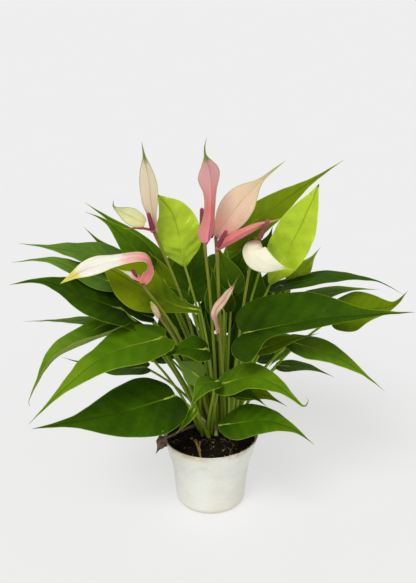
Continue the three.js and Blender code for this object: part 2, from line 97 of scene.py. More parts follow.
# Halves of single leaves, with as many points as the heart that makes the other half
STRAIGHT_BASE = [(0, 0), (0, 0.12), (0.01, 0.3), (0.03, 0.47), (0.08, 0.7), (0.15, 0.93), (0.24, 1),
                 *HEART[7:]]
STEPPED = [(0, 0), (-0.03, 0.13), (-0.045, 0.32), (-0.03, 0.55), (0.03, 0.82), (0.13, 1), (0.25, 1),
           (0.35, 0.74), (0.42, 0.56), (0.52, 0.54), (0.6, 0.38), (0.8, 0.1), (1, 0)]
HANGING_LOBE = [(0, 0), (-0.045, 0.2), (-0.065, 0.45), (-0.06, 0.75), (-0.015, 0.94), (0.045, 0.98),
                (0.11, 0.84), (0.16, 0.6), (0.24, 0.52), (0.42, 0.5), (0.6, 0.34), (0.82, 0.09), (1, 0)]
PALE_HEART = [(0, 0), (0, 0.25), (0.08, 0.5), (0.2, 0.85), (0.33, 1), (0.45, 0.9), (0.55, 0.62), (0.64, 0.3),
              (0.72, 0.13), (0.86, 0.06), (1, 0)]
OPEN = [(0, 0), (0, 0.35), (0.08, 0.68), (0.2, 0.93), (0.33, 1), (0.47, 0.86), (0.6, 0.58),
        (0.71, 0.3), (0.82, 0.11), (1, 0)]
NODDING = [(0, 0), (0, 0.4), (0.1, 0.55), (0.24, 0.6), (0.4, 0.62), (0.52, 0.75), (0.64, 1),
           (0.76, 0.85), (0.87, 0.4), (1, 0)]


def leaf(name, foot, width, face, rib, tone="mid", **more):
    return dict(name="leaf_" + name, foot=foot, width=width, face=face, rib=rib, tone=tone, **more)


def inner_leaf(letter, foot, width, *rib):
    """A dark upright leaf behind the stalks."""
    return leaf("inner_" + letter, foot, width, (0, -1, 0.25), rib, "deep")


LEAVES = [
    # Left side
    leaf("left_upper", (0, 24), 46, (0, -0.2, 1), [(-93, 16, 286), (-145, 8, 299), (-196, -4, 312)], "soft"),
    leaf("left_second", (-4, 24), 42, (0, -0.2, 1),
         [(-96, -5, 267), (-133, -12, 284), (-164, -20, 300), (-200, -28, 301)], "soft"),
    leaf("left_dark", (-4, 9), 62, (0, -0.3, 1),
         [(-89, -28, 248), (-125, -38, 268), (-165, -48, 289), (-198, -56, 289)], "deep"),
    leaf("left_slim", (-8, 11), 30, (0, 0, 1), [(-80, 6, 213), (-130, 4, 220), (-199, -2, 223)], "soft"),
    leaf("left_drooping", (-11, 8), 44, (0, 0, 1),
         [(-96, -22, 222), (-130, -38, 215), (-162, -50, 201), (-185, -60, 164),
          (-186, -61, 156), (-190, -62, 155)],
         "bright", fold=46),
    leaf("left_bright", (-8, 4), 52, (-0.2, -0.5, 1),
         [(-49, -40, 223), (-100, -68, 220), (-141, -90, 196), (-181, -104, 159)], "bright",
         right=STEPPED),
    leaf("left_low", (-2, -4), 76, (0, -0.5, 1), [(-37, -44, 157), (-101, -66, 148), (-183, -80, 139)],
         "deep", fold=4, right=STRAIGHT_BASE),
    leaf("left_under", (-1, 20), 34, (0, 0, 1), [(-70, 2, 165), (-116, -4, 168), (-160, -10, 185)]),
    leaf("left_high", (6, 25), 36, (-0.5, -0.5, 1),
         [(-48, 46, 240), (-68, 50, 273), (-96, 52, 307), (-134, 54, 336)]),
    leaf("left_olive", (3, 21), 27, (-0.4, -0.7, 1),
         [(-64, 20, 277), (-92, 22, 310), (-110, 22, 327), (-130, 22, 337)]),
    leaf("left_back", (3, 28), 26, (-0.3, -0.2, 1), [(-82, 62, 254), (-116, 64, 281), (-138, 66, 304)]),
    leaf("left_wide", (8, 17), 54, (0, -0.8, 1),
         [(-11, -18, 243), (-38, -22, 252), (-72, -30, 276), (-113, -36, 306)],
         "turning", outline=ROLLED),
    leaf("lime_left", (7, 21), 46, (0, -1, 0.4), [(-27, 4, 284), (-32, 2, 315), (-39, 4, 341), (-54, 8, 360)],
         "lime", outline=WEDGE, quilt=0.5, crumple=1.5, wave=3),
    leaf("upright_dark", (10, 24), 48, (0, -1, 0.4), [(-24, 28, 238), (-18, 34, 283), (-6, 42, 329)]),
    # Right side
    leaf("right_top", (14, 23), 42, (-0.4, -0.7, 0.8),
         [(19, 38, 299), (82, 40, 347), (137, 40, 387)], "olive"),
    leaf("lime_right", (17, 16), 47, (-0.4, -1, 0.5),
         [(62, 0, 266), (82, -2, 310), (98, 0, 347), (108, 6, 372)],
         "lime", outline=WEDGE, fold=26, quilt=0.5, crumple=1.3, wave=2.2),
    leaf("right_upper", (23, 23), 38, (0, 0, 1),
         [(68, 4, 259), (113, -2, 273), (165, -8, 273), (200, -12, 258)], "deep"),
    leaf("right_behind", (23, 27), 34, (0, -0.1, 1),
         [(87, 24, 228), (133, 22, 247), (180, 18, 251)], "bright"),
    leaf("right_upcurled", (24, 14), 50, (0, -0.5, 1),
         [(130, -8, 232), (159, -14, 243), (185, -22, 250), (199, -30, 271)], "olive"),
    leaf("right_front", (28, 8), 84, (0, -0.3, 1),
         [(34, -50, 233), (95, -62, 253), (150, -70, 263), (198, -76, 269)],
         "deep", fold=22, droop=17, right=HANGING_LOBE),
    leaf("right_sloping", (22, 10), 36, (0.2, -0.3, 1),
         [(83, -28, 212), (122, -44, 206), (151, -56, 193), (178, -64, 173)], "bright"),
    leaf("right_small", (21, 19), 26, (0, 0, 1), [(74, 8, 164), (107, 4, 164), (136, 0, 153)], "bright"),
    leaf("right_hooked", (0, 3), 40, (0.1, -0.4, 1),
         [(11, -54, 177), (41, -68, 193), (67, -80, 189), (87, -90, 176),
          (93, -91.5, 173), (96, -92, 179), (93, -92, 185)], "bright"),
    leaf("right_under", (20, -1), 26, (0, -0.1, 1), [(19, -42, 163), (38, -50, 163), (59, -58, 152)], "deep"),
    leaf("right_low", (11, 7, 80.6), 46, (0, -0.4, 1),
         [(9, -50, 125), (53, -66, 140), (83, -78, 138), (106, -88, 125)], outline=OVATE),
    # Middle
    leaf("middle_front", (-4, 1), 26, (-0.2, -0.4, 1),
         [(8, -62, 185), (-7, -78, 189), (-23, -92, 167)], outline=OVATE),
    leaf("middle_dark", (6, 7), 36, (0, -0.4, 1), [(-4, -38, 208), (-26, -46, 213), (-51, -52, 207)], "deep"),
    leaf("middle_upright", (17, 20), 34, (0, -1, 0.4), [(22, 12, 250), (12, 14, 284), (3, 16, 310)]),
    # Back
    leaf("back_left", (5, 31), 62, (-0.2, 0.3, 1), [(-40, 62, 205), (-62, 105, 218), (-82, 152, 200)]),
    leaf("back_right", (17, 29), 58, (0.2, 0.3, 1),
         [(48, 58, 205), (75, 98, 218), (108, 142, 204)], "bright"),
    leaf("back_middle", (13, 27), 54, (0, 0.2, 1), [(12, 66, 232), (16, 108, 250), (22, 156, 236)], "deep"),
    leaf("back_low", (9, 28), 64, (0, 0.3, 1), [(-6, 58, 140), (-12, 104, 150), (-16, 158, 128)], "deep"),
    leaf("back_low_right", (19, 24), 54, (0.2, 0.2, 1), [(50, 52, 150), (80, 84, 160), (118, 124, 138)]),
]

# Leaves that the CAD model leaves out: small ones between the named ones, and three at the back
FILLERS = [
    leaf("small_yellow", (2, 26), 22, (-0.2, -1, 0.5),
         [(-46, 24, 247), (-54, 24, 275), (-66, 22, 294)], "olive"),
    leaf("small_dark_left", (5, 20), 16, (0, -0.6, 1), [(-22, 4, 239), (-36, 4, 254), (-51, 4, 263)], "deep"),
    leaf("small_left_a", (-6, 13), 22, (0, -0.3, 1),
         [(-61, -14, 233), (-85, -18, 243), (-110, -22, 236)], "deep"),
    leaf("small_left_b", (-9, 7), 22, (0, -0.3, 1), [(-71, -28, 228), (-97, -34, 240), (-121, -38, 230)]),
    leaf("lime_behind", (21, 23), 22, (0.3, -1, 0.4),
         [(85, 14, 261), (101, 14, 282), (114, 14, 301)], "lime"),
    leaf("small_right_a", (24, 21), 16, (0.6, -1, 0.4), [(82, -4, 197), (74, -4, 185), (61, -4, 168)]),
    leaf("small_right_b", (25, 12), 20, (0, -0.5, 1),
         [(49, -30, 204), (79, -36, 218), (111, -42, 229)], "olive"),
    leaf("small_right_c", (22, 4), 22, (0, -0.5, 1),
         [(27, -30, 153), (53, -40, 157), (81, -48, 146)], "olive"),
    leaf("small_low_left", (-9, 0), 9, (0, -0.6, 1),
         [(-16, -44, 142), (-24, -54, 134), (-40, -60, 116)], "bright"),
    leaf("pale_turned", (-12, 14), 26, (0, 0.8, -0.4), [(-11, -22, 166), (-24, -26, 180), (-40, -30, 195)]),
    leaf("dark_middle", (13, 20), 32, (0, -1, 0.3), [(14, 6, 230), (5, 6, 253), (1, 6, 283)], "deep"),
    leaf("dark_right_a", (16, 26), 34, (0, -1, 0.3), [(16, 22, 248), (29, 22, 280), (41, 22, 310)], "deep"),
    leaf("dark_right_b", (20, 27), 30, (0, -1, 0.3), [(54, 18, 282), (59, 20, 302), (64, 22, 321)], "deep"),
    leaf("back_filler_left", (2, 32), 52, (-0.3, 0.4, 1), [(-45, 50, 150), (-76, 84, 158), (-110, 120, 134)]),
    leaf("back_filler_high", (12, 30), 44, (0.1, 0.1, 1),
         [(30, 52, 262), (44, 84, 284), (62, 118, 286)], "bright"),
    leaf("back_filler_top", (8, 31), 42, (-0.1, 0.1, 1), [(-22, 56, 258), (-34, 88, 280), (-52, 124, 284)]),
    # These close the middle of the plant, behind the stalks
    inner_leaf("a", (0, 34), 46, (0, 40, 128), (-4, 44, 172), (-6, 44, 216)),
    inner_leaf("b", (16, 36), 46, (20, 40, 128), (24, 46, 168), (30, 46, 212)),
    inner_leaf("c", (-8, 34), 40, (-20, 42, 150), (-26, 46, 186), (-30, 46, 226)),
    inner_leaf("d", (24, 36), 40, (40, 46, 164), (46, 50, 200), (50, 50, 232)),
    inner_leaf("e", (8, 38), 50, (8, 54, 186), (10, 58, 226), (12, 60, 262)),
    inner_leaf("j", (-2, 36), 40, (-34, 38, 184), (-44, 40, 208), (-54, 42, 240)),
    inner_leaf("h", (22, 38), 50, (34, 38, 206), (44, 40, 244), (54, 42, 288)),
    inner_leaf("i", (20, 40), 44, (58, 42, 214), (64, 44, 246), (72, 46, 278)),
    inner_leaf("f", (4, 33), 34, (-2, 36, 104), (-8, 36, 130), (-12, 36, 156)),
    inner_leaf("g", (14, 34), 36, (16, 36, 100), (22, 38, 128), (28, 38, 154)),
]

FLOWERS = [
    dict(name="cream_left", foot=(3, 16), stalk_end=(-56, -10, 324), width=21, face=(-0.4, -0.9, 0.2),
         fold=30, tip_fold=8, outline=HOOD, look="cream",
         rib=[(-56, -10, 327), (-59, -12, 356), (-61, -13, 382), (-67, -12, 421)],
         spadix=[(-58, -15, 330), (-62, -18, 350)]),
    dict(name="nodding_left", foot=(3, 11), stalk_end=(-66, -54, 287), width=21, face=(0.6, -0.4, 1),
         fold=10, outline=NODDING, look="nodding",
         rib=[(-66, -54, 290), (-60, -54, 306), (-66, -58, 319), (-95, -64, 317), (-121, -70, 311),
              (-145, -74, 298)],
         spadix=[(-72, -54, 292), (-76, -58, 306)]),
    dict(name="tall_pink", foot=(8, 11), stalk_end=(-6, -34, 321), width=27, face=(-0.6, 0.8, 0.1),
         fold=30, tip_fold=5, outline=WAISTED, look="pink",
         rib=[(-4, -34, 324), (0, -34, 359), (-1, -34, 393), (-6, -34, 417), (-4, -34, 432)],
         spadix=[(-9, -29, 328), (-9, -23, 357)]),
    dict(name="open_pink", foot=(13, 14), stalk_end=(6, -32, 312), width=22, face=(-0.5, 0, 1),
         fold=45, outline=OPEN, look="rose",
         rib=[(6, -32, 315), (28, -30, 327), (55, -24, 340), (79, -22, 348)],
         spadix=[(6, -39, 322), (15, -44, 341)]),
    dict(name="pale_middle", foot=(12, 19), stalk_end=(5, -8, 318), width=34, face=(-0.4, -1, 0.3),
         fold=6, outline=PALE_HEART, look="pale",
         rib=[(5, -8, 321), (29, -8, 357), (50, -6, 380), (74, -4, 400)],
         spadix=[(0, -14, 322), (0, -20, 341)]),
    dict(name="hanging_white", foot=(21, 6), stalk_end=(44, -14, 318), width=26, face=(-0.3, -1, 0.4),
         fold=-6, outline=OPEN, look="white",
         rib=[(44, -19, 321), (42, -30, 313), (54, -36, 304), (85, -38, 296)],
         spadix=[(48, -24, 325), (56, -34, 349)]),
]


# ---- curves and surfaces

def unit(v):
    return v / np.maximum(np.linalg.norm(v, axis=-1, keepdims=True), 1e-9)


def spline(points, per_span):
    """Points along a uniform Catmull-Rom curve."""
    p = np.array(points, float)
    p = np.vstack([2 * p[0] - p[1], p, 2 * p[-1] - p[-2]])
    rows = []
    for i in range(len(p) - 3):
        x0, x1, x2, x3 = p[i:i + 4]
        t0, t1 = (x2 - x0) / 2, (x3 - x1) / 2
        square, cube = -3 * x1 + 3 * x2 - 2 * t0 - t1, 2 * x1 - 2 * x2 + t0 + t1
        steps = per_span + (i == len(p) - 4)
        t = (np.arange(steps) / per_span)[:, None]
        rows.append(x1 + t0 * t + square * t**2 + cube * t**3)
    return np.vstack(rows)


class Path:
    """A smooth curve through points, read by its share of length."""

    def __init__(self, points):
        self.points = spline(points, PATH_STEPS)
        self.along = np.r_[0, np.cumsum(np.linalg.norm(np.diff(self.points, axis=0), axis=1))]
        self.length = self.along[-1]

    def at(self, share):
        place = np.asarray(share, float) * self.length
        return np.stack([np.interp(place, self.along, self.points[:, k]) for k in range(3)], -1)

    def tangent(self, share):
        share = np.asarray(share, float)
        before, after = np.maximum(share - TANGENT_STEP, 0), np.minimum(share + TANGENT_STEP, 1)
        return unit(self.at(after) - self.at(before))


def stalk_path(foot, end, onward=()):
    """A stalk's arc from the soil, with the CAD model's bend; a foot of two numbers stands on the soil."""
    start = np.array(list(foot) + [FOOT_LEVEL] * (3 - len(foot)), float)
    end = np.array(end, float)
    bend = start + (end - start) * STALK_LEAN
    bend[2] = start[2] + (end[2] - start[2]) * STALK_RISE
    rows = [start * (1 - t)**2 + 2 * bend * t * (1 - t) + end * t**2 for t in (0, 0.33, 0.67, 1)]
    return Path(rows + [np.array(p, float) for p in onward])


class Sheet:
    """The bent surface of a blade: along is 0 to 1 on the midrib, across is -1 to 1 over the width."""

    def __init__(self, rib, width, face, fold=8, tip_fold=None, wave=0, waves=3, phase=0, droop=0):
        self.path = Path(rib)
        self.width, self.face = width, unit(np.array(face, float))
        self.fold, self.tip_fold = fold, fold if tip_fold is None else tip_fold
        self.wave, self.waves, self.phase, self.droop = wave, waves, phase, droop

    def at(self, along, across):
        """Points of the surface, and the direction that it faces at each."""
        on_rib = np.clip(along, 0, 1)
        forward = self.path.tangent(on_rib)
        right = unit(np.cross(forward, self.face))
        normal = np.cross(right, forward)
        angle = np.radians(self.fold + (self.tip_fold - self.fold) * on_rib)
        reach = across * self.width / 2
        ripple = np.sin(math.tau * self.waves * along + self.phase + np.where(across < 0, LEFT_PHASE, 0))
        hang = np.exp(-((along - DROOP_PLACE) / DROOP_SPREAD)**2) * np.clip(across, 0, 1)**2
        lift = np.abs(reach) * np.sin(angle) - CURL * self.width * across**2
        lift = lift + self.wave * ripple * across**2 - self.droop * hang
        point = self.path.at(on_rib) + forward * ((along - on_rib) * self.path.length)[..., None]
        return point + right * (reach * np.cos(angle))[..., None] + normal * lift[..., None], normal


# ---- meshes

def add_object(name, data):
    thing = bpy.data.objects.new(name, data)
    bpy.context.scene.collection.objects.link(thing)
    return thing


class Build:
    """Collects vertices, faces and per-vertex numbers of one piece."""

    def __init__(self):
        self.verts, self.faces, self.slots = [], [], []
        self.data = {"place": [], "margin": []}

    def add(self, points, faces, place=None, margin=None, slot=0):
        base = len(self.verts)
        nothing = [(0, 0, 0)] * len(points)
        self.verts.extend(points)
        self.data["place"].extend(place or nothing)
        self.data["margin"].extend(margin or nothing)
        for face in faces:
            self.faces.append([base + i for i in face])
            self.slots.append(slot)

    def mesh(self, name, materials):
        data = bpy.data.meshes.new(name)
        data.from_pydata([tuple(np.array(p) * MM) for p in self.verts], [], self.faces)
        for key, rows in self.data.items():
            layer = data.attributes.new(key, "FLOAT_VECTOR", "POINT")
            layer.data.foreach_set("vector", np.array(rows, np.float32).ravel())
        for material in materials:
            data.materials.append(material)
        data.polygons.foreach_set("material_index", self.slots)
        data.polygons.foreach_set("use_smooth", [True] * len(self.faces))
        data.update()
        return add_object(name, data)


def whole(*corners):
    """A list of one face, without its repeated corners, or of none if fewer than three are left."""
    kept = [c for i, c in enumerate(corners) if c != corners[i - 1]]
    return [kept] if len(set(kept)) >= 3 else []


def add_rings(build, rings, slot=0, place=None, margin=None):
    """A surface through rings of equally many points; a ring of one point closes an end."""
    sides = max(len(ring) for ring in rings)
    points, numbers, faces = [], [], []
    for ring in rings:
        first = len(points)
        points.extend(ring)
        numbers.append([first] * sides if len(ring) == 1 else list(range(first, first + sides)))
    for a, b in zip(numbers, numbers[1:]):
        for j in range(sides):
            n = (j + 1) % sides
            faces += whole(a[j], a[n], b[n], b[j])
    build.add(points, faces, place, margin, slot)


def circle(radius, height, sides, shift=None):
    """A level ring round the pot's axis, or one point on it; shift(angle, height) adds to the radius."""
    ring = []
    for j in range(sides if radius else 1):
        angle = math.tau * j / sides
        r = radius + (shift(angle, height) if shift and radius else 0)
        ring.append((r * math.cos(angle), r * math.sin(angle), height))
    return ring


def add_sheet(build, sheet, outline, thickness, rib=0.7, groove=0.25, veins=9, quilt=0.3, per_span=5,
              crumple=0, right=None):
    """A closed thin blade with a midrib grooved above and raised below, and quilting between side veins.

    The outline holds for both halves, unless right gives one for the half where across is positive."""
    halves = [spline(half, per_span) for half in (outline, right or outline)]
    columns = np.r_[-COLUMNS[:0:-1], COLUMNS]
    rows, last = len(halves[0]), len(columns) - 1
    column, hand = np.abs(columns)[None, :], (columns > 0).astype(int)
    along_out = np.stack([half[:, 0] for half in halves], 1)[:, hand]
    across_out = np.maximum(np.stack([half[:, 1] for half in halves], 1), 0)[:, hand]
    swept = [half[:, 0] - ROW_SWEEP * np.maximum(half[:, 1], 0) for half in halves]
    on_rib = np.maximum(0, np.mean(swept, 0))[:, None]
    along = on_rib + (along_out - on_rib) * column
    across = columns[None, :] * across_out
    point, normal = sheet.at(along, across)

    reach = np.abs(across) * sheet.width / 2
    to_rim = across_out * sheet.width / 2 - reach
    vein = along - VEIN_SWEEP * reach / sheet.path.length
    fade = np.clip(reach / RIB_FADE, 0, 1) * np.clip(to_rim / RIM_FADE, 0, 1)
    raised = quilt * np.cos(math.tau * veins * vein) * fade
    raised = raised - groove * np.exp(-(reach / GROOVE_WIDTH)**2) * np.clip(1 - along, 0, 1)
    if crumple:
        for spot in np.ndindex(raised.shape):
            raised[spot] += 2 * crumple * noise.noise(Vector(point[spot] * CRUMPLE_PITCH))
    pinch = np.minimum(1, across_out * END_PINCH)
    half = thickness / 2 * pinch * (1 - RIM_THINNING * column**3)
    under_rib = rib * np.exp(-(reach / RIB_WIDTH)**2) * np.clip(RIB_END - along, 0, 1) * pinch
    top = point + normal * (raised + half)[..., None]
    low = point + normal * (raised - half - under_rib)[..., None]

    # The first and last rows are one point each, where the two sides meet
    points, faces, grids = [point[0, 0], point[-1, 0]], [], []
    place, margin = [(0, 0, 0), (1, 0, 1)], [(FAR_FROM_RIM, 0, 0), (0, 0, 0)]
    for grid, below in ((top, 0), (low, 1)):
        index = np.zeros(along.shape, int)
        index[-1] = 1
        for r in range(1, rows - 1):
            for c in range(last + 1):
                index[r, c] = len(points)
                points.append(grid[r, c])
                place.append((along[r, c], columns[c], vein[r, c]))
                margin.append((to_rim[r, c], reach[r, c], below))
        grids.append(index)
    upper, lower = grids
    for r in range(rows - 1):
        for c in range(last):
            faces += whole(upper[r, c], upper[r, c + 1], upper[r + 1, c + 1], upper[r + 1, c])
            faces += whole(lower[r + 1, c], lower[r + 1, c + 1], lower[r, c + 1], lower[r, c])
        faces += whole(upper[r, last], lower[r, last], lower[r + 1, last], upper[r + 1, last])
        faces += whole(upper[r + 1, 0], lower[r + 1, 0], lower[r, 0], upper[r, 0])
    build.add(points, faces, place, margin)


def add_tube(build, path, radius_at, slot=0, steps=34, sides=10, bumps=None):
    """A closed round piece along a path; bumps(share, angle) adds to its radius."""
    shares = np.linspace(0, 1, steps + 1)
    middle, tangent = path.at(shares), path.tangent(shares)
    side = np.cross(tangent[0], OFF_AXIS)
    rings, place, margin = [[middle[0]]], [(0, 0, 0)], [(0, 0, 0)]
    for k, share in enumerate(shares):
        side = unit(side - tangent[k] * np.dot(side, tangent[k]))
        other = np.cross(tangent[k], side)
        ring = []
        for j in range(sides):
            angle = math.tau * j / sides
            radius = radius_at(share) + (bumps(share, angle) if bumps else 0)
            ring.append(middle[k] + radius * (side * math.cos(angle) + other * math.sin(angle)))
            place.append((share, math.cos(angle), math.sin(angle)))
            margin.append((radius, 0, 0))
        rings.append(ring)
    rings.append([middle[-1]])
    add_rings(build, rings, slot, place + [(1, 0, 0)], margin + [(0, 0, 0)])


# ---- materials

def linear(colour):
    parts = [c / 255 for c in colour]
    return tuple(c / 12.92 if c <= 0.04045 else ((c + 0.055) / 1.055)**2.4 for c in parts) + (1,)


class Paint:
    """One material: shorthand for its nodes, and the colour that its coats build up."""

    def __init__(self, name, base, **fixed):
        self.material = bpy.data.materials.new(name)
        self.material.use_nodes = True
        self.tree = self.material.node_tree
        self.shader = self.tree.nodes["Principled BSDF"]
        self.colour = linear(base)
        for key, value in fixed.items():
            self.shader.inputs[key.replace("_", " ")].default_value = value

    def set(self, socket, value):
        if hasattr(value, "is_linked"):
            self.tree.links.new(value, socket)
        else:
            socket.default_value = value

    def new(self, kind, *inputs, **settings):
        """A node with these settings, and with its first inputs linked or set."""
        node = self.tree.nodes.new("ShaderNode" + kind)
        for key, value in settings.items():
            setattr(node, key, value)
        for socket, value in zip(node.inputs, inputs):
            self.set(socket, value)
        return node

    def math(self, operation, *inputs, clamp=False):
        return self.new("Math", *inputs, operation=operation, use_clamp=clamp).outputs[0]

    def times(self, a, b):
        return self.math("MULTIPLY", a, b)

    def scaled(self, value, by, plus):
        return self.math("MULTIPLY_ADD", value, by, plus)

    def ramp(self, value, low, high, to_low=0, to_high=1):
        node = self.new("MapRange", value, low, high, to_low, to_high, interpolation_type="SMOOTHSTEP")
        return node.outputs[0]

    def coat(self, share, colour):
        """Covers this share of what is there with a colour."""
        node = self.new("Mix", share, data_type="RGBA")
        self.set(node.inputs[6], self.colour)
        self.set(node.inputs[7], linear(colour))
        self.colour = node.outputs[2]

    def attribute(self, name):
        vector = self.new("Attribute", attribute_name=name).outputs["Vector"]
        return (*self.new("SeparateXYZ", vector).outputs, vector)

    def position(self):
        return self.new("TexCoord").outputs["Object"]

    def stretch(self, vector, scale):
        return self.new("VectorMath", vector, scale, operation="MULTIPLY").outputs[0]

    def noise(self, vector, scale, detail=3.0, roughness=0.55):
        node = self.new("TexNoise", vector)
        for key, value in (("Scale", scale), ("Detail", detail), ("Roughness", roughness)):
            node.inputs[key].default_value = value
        return node.outputs["Fac"]

    def cells(self, vector, scale, feature="DISTANCE_TO_EDGE"):
        node = self.new("TexVoronoi", vector, feature=feature)
        node.inputs["Scale"].default_value = scale
        return node.outputs["Distance"]

    def lines(self, value, count, width):
        """1 on thin lines that repeat count times over a value, 0 between them."""
        part = self.math("FRACT", self.scaled(value, count, 50.5))  # 50 keeps it above 0
        return self.ramp(self.math("ABSOLUTE", self.math("SUBTRACT", part, 0.5)), 0, width, 1, 0)

    def bump(self, *layers):
        """Relief from pairs of a height and its distance in metres."""
        normal = None
        for height, distance in layers:
            node = self.new("Bump")
            node.inputs["Strength"].default_value = 1
            node.inputs["Distance"].default_value = distance
            self.set(node.inputs["Height"], height)
            if normal is not None:
                self.set(node.inputs["Normal"], normal)
            normal = node.outputs["Normal"]
        self.set(self.shader.inputs["Normal"], normal)

    def finish(self, roughness):
        self.set(self.shader.inputs["Base Color"], self.colour)
        self.set(self.shader.inputs["Roughness"], roughness)
        return self.material


def leaf_material(name, dark, light, rim, under, veins=9, gloss=0.46, outward=0.45, shine=0.18):
    m = Paint(name, dark, Subsurface_Weight=0.05, Subsurface_Scale=0.002, Subsurface_Radius=(0.4, 0.9, 0.1),
              Specular_IOR_Level=shine, Specular_Tint=(0.92, 1, 0.35, 1))
    shadow = [c * 0.6 for c in dark]
    along, _, vein, _ = m.attribute("place")
    to_rim, from_rib, below, _ = m.attribute("margin")
    spot = m.position()
    patches, fine, web = m.noise(spot, 20), m.noise(spot, 220, 4), m.cells(spot, 520)
    outer = m.ramp(along, 0.2, 0.8, 0, outward)
    m.coat(m.math("ADD", m.ramp(patches, 0.3, 0.7, 0, 0.6), outer, clamp=True), light)
    # Painted light on the raised rows of the quilting between the side veins
    m.coat(m.ramp(m.math("COSINE", m.times(vein, math.tau * veins)), -1, 1, 0, 0.12), light)
    fade = m.times(m.ramp(from_rib, 0, 3.0), m.ramp(to_rim, 0.5, 3.0))
    side_vein = m.times(m.times(m.lines(vein, veins, 0.04), fade), m.ramp(patches, 0.35, 0.65, 0.02, 0.07))
    m.coat(side_vein, rim)
    m.coat(m.ramp(web, 0, 0.09, 0.1, 0), light)
    # Painted shade over the base of the blade, near the stalk, where other leaves shade it
    m.coat(m.ramp(along, -0.05, 0.32, 0.5, 0), shadow)
    # The midrib is pale near the stalk, and further out painted shade darkens its crease
    m.coat(m.times(m.ramp(from_rib, 0.3, 1, 1, 0), m.ramp(along, 0.25, 0.6, 0, 0.5)), shadow)
    m.coat(m.times(m.ramp(from_rib, 0.3, 0.9, 1, 0), m.ramp(along, 0.02, 0.45, 0.45, 0)), rim)
    m.coat(m.ramp(to_rim, 0.15, 0.6, 0.6, 0), rim)
    m.coat(m.ramp(fine, 0.35, 0.7, 0, 0.14), dark)
    underside = m.math("GREATER_THAN", below, UNDERSIDE)
    m.coat(m.times(underside, 0.75), under)
    # Yellowed blotches in the outer half, and a dry tip
    blotches = m.ramp(m.noise(spot, 75, 4), 0.66, 0.74)
    m.coat(m.times(blotches, m.ramp(along, 0.3, 0.9, 0, 0.35)), (150, 140, 40))
    m.coat(m.ramp(along, 0.955, 0.985, 0, 0.9), (58, 42, 22))
    height = m.math("SUBTRACT", m.times(fine, 0.3), m.times(side_vein, 1.2))
    m.bump((height, 0.0006), (web, 0.00012), (m.noise(spot, 55), 0.0012))
    return m.finish(m.math("ADD", m.times(fine, 0.2), m.scaled(underside, 0.18, gloss - 0.08)))


def stalk_material(name, low, high, flush, flush_from=0.8):
    m = Paint(name, low, Subsurface_Weight=0.05, Subsurface_Scale=0.002, Subsurface_Radius=(0.5, 0.9, 0.2),
              Specular_IOR_Level=0.25, Specular_Tint=(1, 1, 0.6, 1))
    along, _, _, place = m.attribute("place")
    spot = m.position()
    streaks = m.noise(m.stretch(place, (3.0, 6.0, 6.0)), 3.0)
    m.coat(m.math("ADD", m.ramp(along, 0.1, 0.9, 0, 0.7), m.times(streaks, 0.3), clamp=True), high)
    m.coat(m.ramp(m.math("ADD", along, m.times(streaks, 0.15)), flush_from, 1.1, 0, 0.9), flush)
    m.coat(m.ramp(m.noise(spot, 700, 2), 0.62, 0.72, 0, 0.35), (206, 205, 130))
    m.bump((streaks, 0.0004), (m.noise(spot, 900, 2), 0.0002))
    return m.finish(m.scaled(streaks, 0.2, 0.4))


def spathe_material(name, base, middle, outer, rim, tail, rib, under, spread=(0.05, 0.4, 0.75)):
    m = Paint(name, base, Subsurface_Weight=0.2, Subsurface_Scale=0.003, Subsurface_Radius=(1, 0.5, 0.4),
              Specular_IOR_Level=0.45)
    along, across, _, place = m.attribute("place")
    to_rim, from_rib, below, _ = m.attribute("margin")
    spot = m.position()
    cloud = m.noise(spot, 70)
    moved = m.math("ADD", along, m.scaled(cloud, 0.22, -0.11))
    m.coat(m.ramp(moved, spread[0], spread[1]), middle)
    m.coat(m.ramp(moved, spread[1], spread[2]), outer)
    streaks = m.noise(m.stretch(place, (1.5, 16.0, 0)), 2.0)
    nerves = m.times(m.lines(across, 5.5, 0.10), m.ramp(streaks, 0.3, 0.6, 0.1, 0.32))
    m.coat(nerves, rib)
    m.coat(m.ramp(streaks, 0.35, 0.7, 0, 0.18), base)
    m.coat(m.times(m.ramp(from_rib, 0.2, 0.7, 0.75, 0), m.ramp(along, 0.1, 0.4, 0.3, 1)), rib)
    m.coat(m.times(m.math("GREATER_THAN", below, UNDERSIDE), 0.45), under)
    m.coat(m.ramp(to_rim, 0.36, 0.8, 0.85, 0), rim)
    m.coat(m.ramp(moved, 0.74, 0.84), tail)
    m.bump((m.times(nerves, -1), 0.0006), (streaks, 0.0005), (m.noise(spot, 600, 2), 0.00012))
    return m.finish(m.scaled(cloud, 0.2, 0.3))


def spadix_material(name, base, tip):
    m = Paint(name, base, Specular_IOR_Level=0.4)
    along = m.attribute("place")[0]
    spot = m.position()
    grain = m.cells(spot, 900, "F1")
    m.coat(m.ramp(along, 0.55, 0.95), tip)
    m.coat(m.ramp(grain, 0.1, 0.6, 1, 0.4), [min(255, c * 1.5 + 25) for c in base])
    m.coat(m.ramp(m.noise(spot, 260, 2), 0.55, 0.7, 0, 0.35), (214, 150, 140))
    m.bump((m.times(grain, -1), 0.0009))
    return m.finish(m.scaled(grain, 0.2, 0.5))


def dry_material(name, dark, light, scale=1):
    m = Paint(name, dark, Specular_IOR_Level=0.25)
    spot = m.position()
    cloud = m.noise(spot, 120 * scale, 4)
    fibres = m.noise(m.stretch(spot, (1, 1, 0.25)), 600 * scale, 4)
    m.coat(m.ramp(cloud, 0.3, 0.7), light)
    m.coat(m.ramp(fibres, 0.4, 0.65, 0, 0.5), [c * 0.5 for c in dark])
    m.bump((fibres, 0.0008), (cloud, 0.001))
    return m.finish(m.scaled(fibres, 0.2, 0.7))


